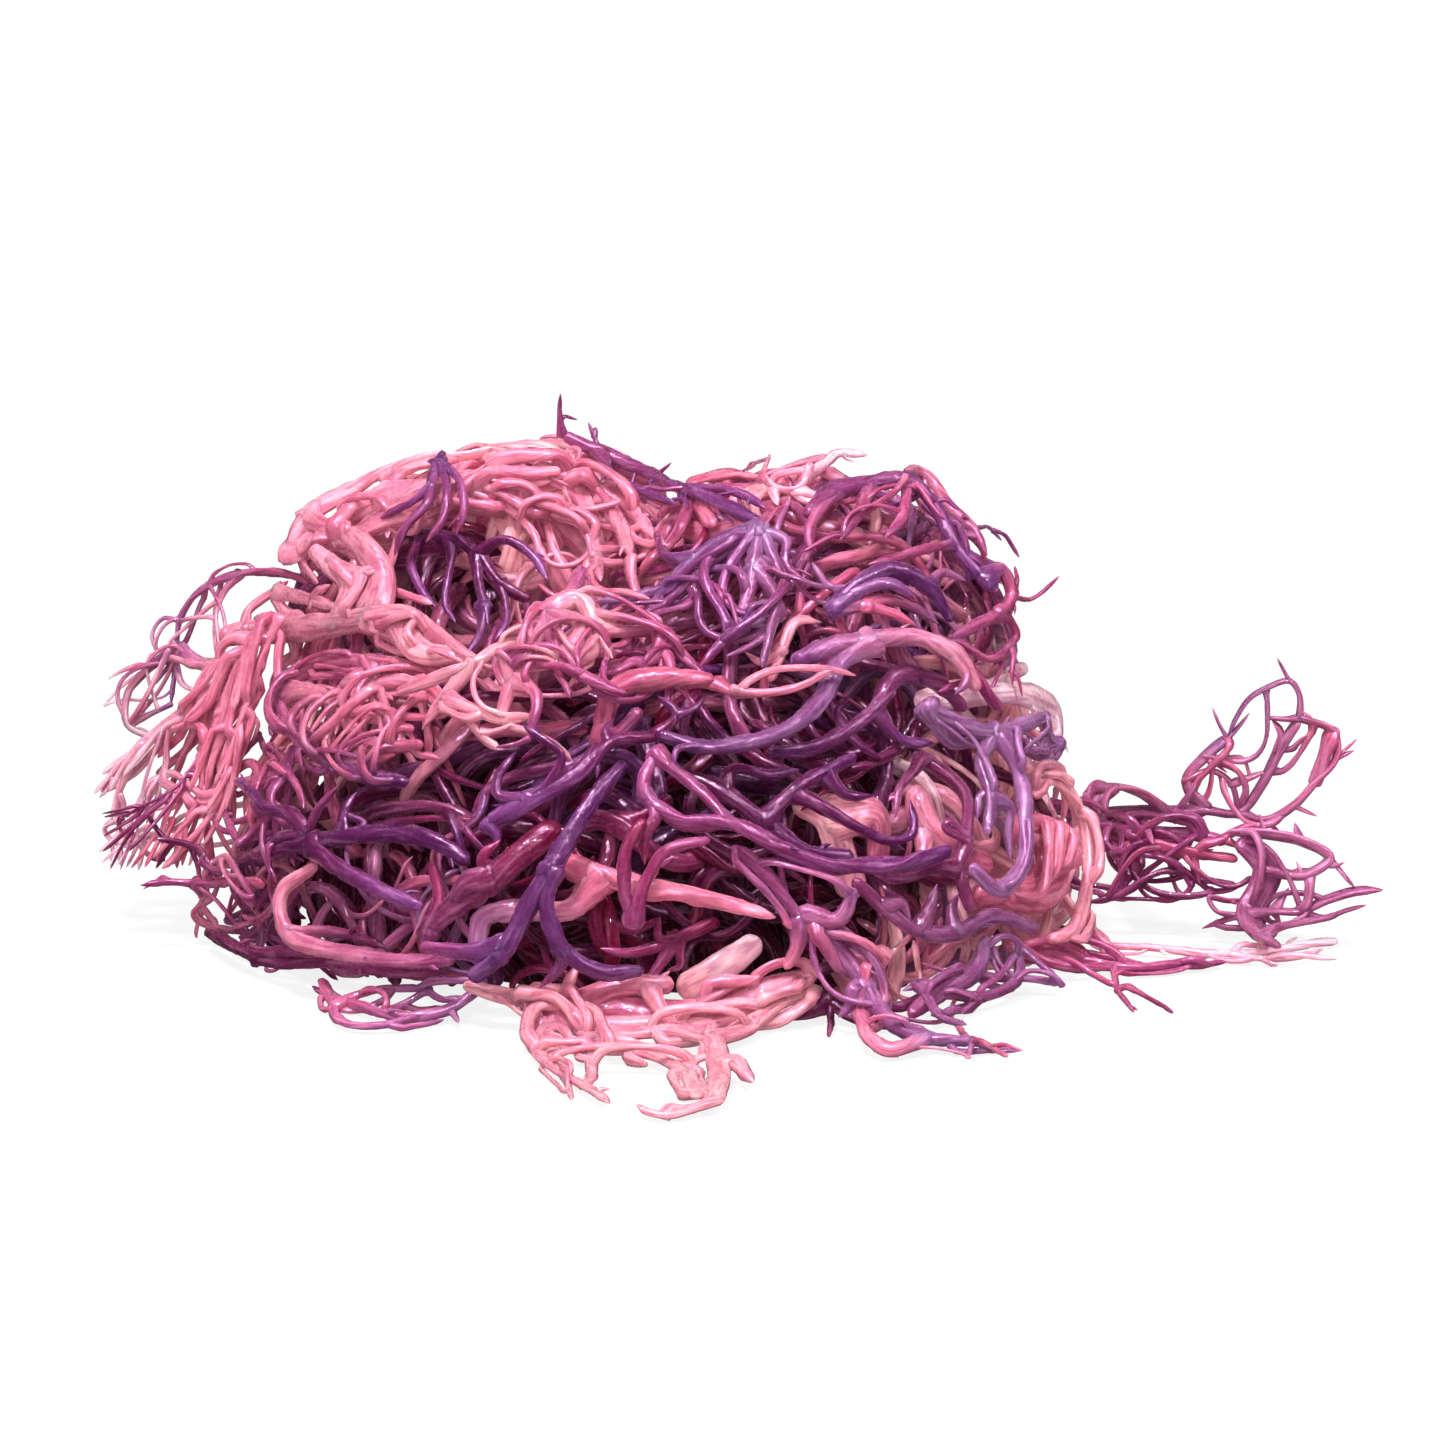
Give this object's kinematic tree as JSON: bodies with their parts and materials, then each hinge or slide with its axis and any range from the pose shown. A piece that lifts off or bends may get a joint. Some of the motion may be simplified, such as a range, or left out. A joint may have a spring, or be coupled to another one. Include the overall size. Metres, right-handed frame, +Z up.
{
  "type": "purple sea moss",
  "caption": "Loose mound of wet, branching sea moss strands in purple, violet and pink, with fronds trailing over the ground beside it.",
  "frame": {"origin": "on the ground under the middle of the mound's box, trailing fronds included", "axes": "+Z up; +Y away from the viewer of the side that shows in the reference picture; +X to that viewer's right"},
  "size_m": [0.2619, 0.2118, 0.1031],
  "materials": {
    "deep_purple": "wet and glossy, slightly translucent",
    "violet": "wet and glossy, slightly translucent",
    "mauve": "wet and glossy, slightly translucent",
    "magenta": "wet and glossy, slightly translucent",
    "rose": "wet and glossy, slightly translucent",
    "salmon": "wet and glossy, slightly translucent",
    "pale_pink": "wet and glossy, slightly translucent"
  },
  "bodies": {
    "root": {"back_frond_1": "mauve", "back_frond_2": "mauve", "back_frond_3": "mauve", "back_frond_4": "mauve", "back_frond_5": "mauve", "back_right_frond": "rose", "blue_violet_frond": "violet", "bottom_right_frond": "violet", "centre_branched_frond": "deep_purple", "centre_fan_frond": "mauve", "dark_centre_frond": "deep_purple", "dark_hollow_frond": "deep_purple", "dark_low_right": "deep_purple", "dark_right_frond": "deep_purple", "front_floor_frond": "salmon", "front_left_network": "rose", "hot_pink_frond": "rose", "inner_tangle": "deep_purple", "left_blunt_strand": "salmon", "left_dark_band": "deep_purple", "left_dark_foot": "deep_purple", "left_fan_frond": "salmon", "left_floor_loops": "salmon", "left_mauve_frond": "mauve", "left_pale_curve": "pale_pink", "left_pale_sticks": "pale_pink", "left_purple_loops": "mauve", "long_pale_frond": "pale_pink", "low_long_strands": "rose", "low_pale_strand": "pale_pink", "low_wine_frond": "magenta", "magenta_broad_frond": "magenta", "maroon_cross_strand": "magenta", "maroon_hanging_loop": "magenta", "mauve_centre_frond": "violet", "mauve_spiky_frond": "mauve", "mauve_tuft": "mauve", "pale_bent_strand": "pale_pink", "pale_finger_frond": "pale_pink", "pale_floor_ribbon": "pale_pink", "pale_hub_frond": "pale_pink", "pink_dome_frond": "salmon", "pink_tassel": "salmon", "right_arch_frond": "violet", "right_finger_strand": "pale_pink", "right_foot_frond": "violet", "right_low_mauve": "mauve", "right_outer_strand": "rose", "right_pale_loop": "pale_pink", "right_striped_frond": "rose", "right_violet_network": "violet", "salmon_bar_frond": "salmon", "trailing_high_loops": "mauve", "trailing_leaf": "mauve", "trailing_root": "deep_purple", "violet_frond": "violet", "violet_knee_frond": "violet"}
  },
  "joints": []
}
